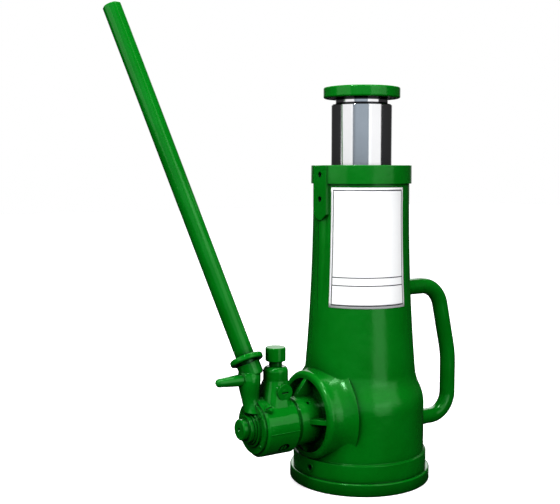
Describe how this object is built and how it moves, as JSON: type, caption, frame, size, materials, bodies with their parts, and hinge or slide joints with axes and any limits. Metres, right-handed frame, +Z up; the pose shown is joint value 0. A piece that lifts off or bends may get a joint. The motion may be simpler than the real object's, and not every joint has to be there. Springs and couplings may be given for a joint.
{
  "type": "screw jack",
  "caption": "Upright screw jack whose swinging ratchet lever turns a bevel gear pair and a lifting screw, raising a ram with a swivelling saddle.",
  "frame": {"origin": "middle of the base's underside", "axes": "+Z up along the lifting screw towards the saddle, -X along the pinion shaft towards the ratchet head, +X towards the carrying handle"},
  "size_m": [0.391, 0.1992, 0.5154],
  "materials": {
    "green_enamel": "gloss enamel over cast iron",
    "ground_steel": "ground and polished",
    "gear_steel": "machined and oiled",
    "bearing_steel": "hardened and ground",
    "dark_steel": "blackened",
    "bronze": "machined"
  },
  "bodies": {
    "frame": {"base_plate": "green_enamel", "housing": "green_enamel", "lock_screw": "dark_steel", "guide_key": "gear_steel", "key_screws": "dark_steel", "carry_handle": "green_enamel", "lower_race": "bearing_steel", "pinion_bush": "bronze", "pinion_washer": "bearing_steel"},
    "cage": {"ball_cage": "bronze", "bearing_balls": "bearing_steel"},
    "screw": {"upper_race": "bearing_steel", "crown_gear": "gear_steel", "gear_key": "gear_steel", "lead_screw": "gear_steel", "stop_washer": "gear_steel", "stop_screw": "dark_steel"},
    "ram": {"ram_nut": "bronze", "nut_pins": "dark_steel", "ram_tube": "ground_steel", "saddle_screw": "dark_steel"},
    "saddle": {"saddle": "green_enamel"},
    "pinion": {"pinion_shaft": "green_enamel", "ratchet_wheel": "gear_steel", "wheel_key": "gear_steel", "shaft_ring": "green_enamel"},
    "head": {"ratchet_head": "green_enamel", "back_plate": "green_enamel", "back_plate_screws": "dark_steel", "detent_screw": "green_enamel", "detent_plunger": "bearing_steel", "drain_plug": "green_enamel", "crank_peg": "green_enamel", "front_washer": "green_enamel", "pawl_spring": "bearing_steel"},
    "pawl_seat": {"spring_seat": "bearing_steel"},
    "pawl": {"pawl": "gear_steel", "pawl_knob": "green_enamel", "knob_pin": "green_enamel"},
    "rod": {"handle_rod": "green_enamel"}
  },
  "joints": [
    {"name": "screw_spin", "type": "hinge", "parent": "frame", "child": "screw", "pos_m": [0, 0, 0.04], "axis": [0, 0, -1], "range_deg": [-2835, 5715]},
    {"name": "ram_lift", "type": "slide", "parent": "frame", "child": "ram", "axis": [0, 0, 1], "range_m": [-0.063, 0.127]},
    {"name": "pinion_spin", "type": "hinge", "parent": "frame", "child": "pinion", "pos_m": [-0.08, 0, 0.074], "axis": [1, 0, 0], "range_deg": [-5670, 11430]},
    {"name": "cage_spin", "type": "hinge", "parent": "frame", "child": "cage", "pos_m": [0, 0, 0.029], "axis": [0, 0, -1], "range_deg": [-1417.5, 2857.5]},
    {"name": "saddle_swivel", "type": "hinge", "parent": "ram", "child": "saddle", "pos_m": [0, 0, 0.42], "axis": [0, 0, 1], "continuous": true},
    {"name": "head_swing", "type": "hinge", "parent": "frame", "child": "head", "pos_m": [-0.11, 0, 0.074], "axis": [1, 0, 0], "range_deg": [-60, 90]},
    {"name": "pawl_lift", "type": "slide", "parent": "head", "child": "pawl_seat", "axis": [0, 0, 1], "range_m": [-0.0045, 0.001], "deforming": ["pawl_spring"]},
    {"name": "pawl_turn", "type": "hinge", "parent": "pawl_seat", "child": "pawl", "pos_m": [-0.111, 0, 0.12], "axis": [0, 0, 1], "range_deg": [0, 180]},
    {"name": "rod_pull", "type": "slide", "parent": "head", "child": "rod", "axis": [-0.2547, 0.2617, 0.9309], "range_m": [0, 0.016]}
  ],
  "couplings": [
    {"joint": "ram_lift", "follows": "screw_spin", "m_per_rad": 0.0012732},
    {"joint": "pinion_spin", "follows": "screw_spin", "ratio": 2},
    {"joint": "cage_spin", "follows": "screw_spin", "ratio": 0.5}
  ]
}
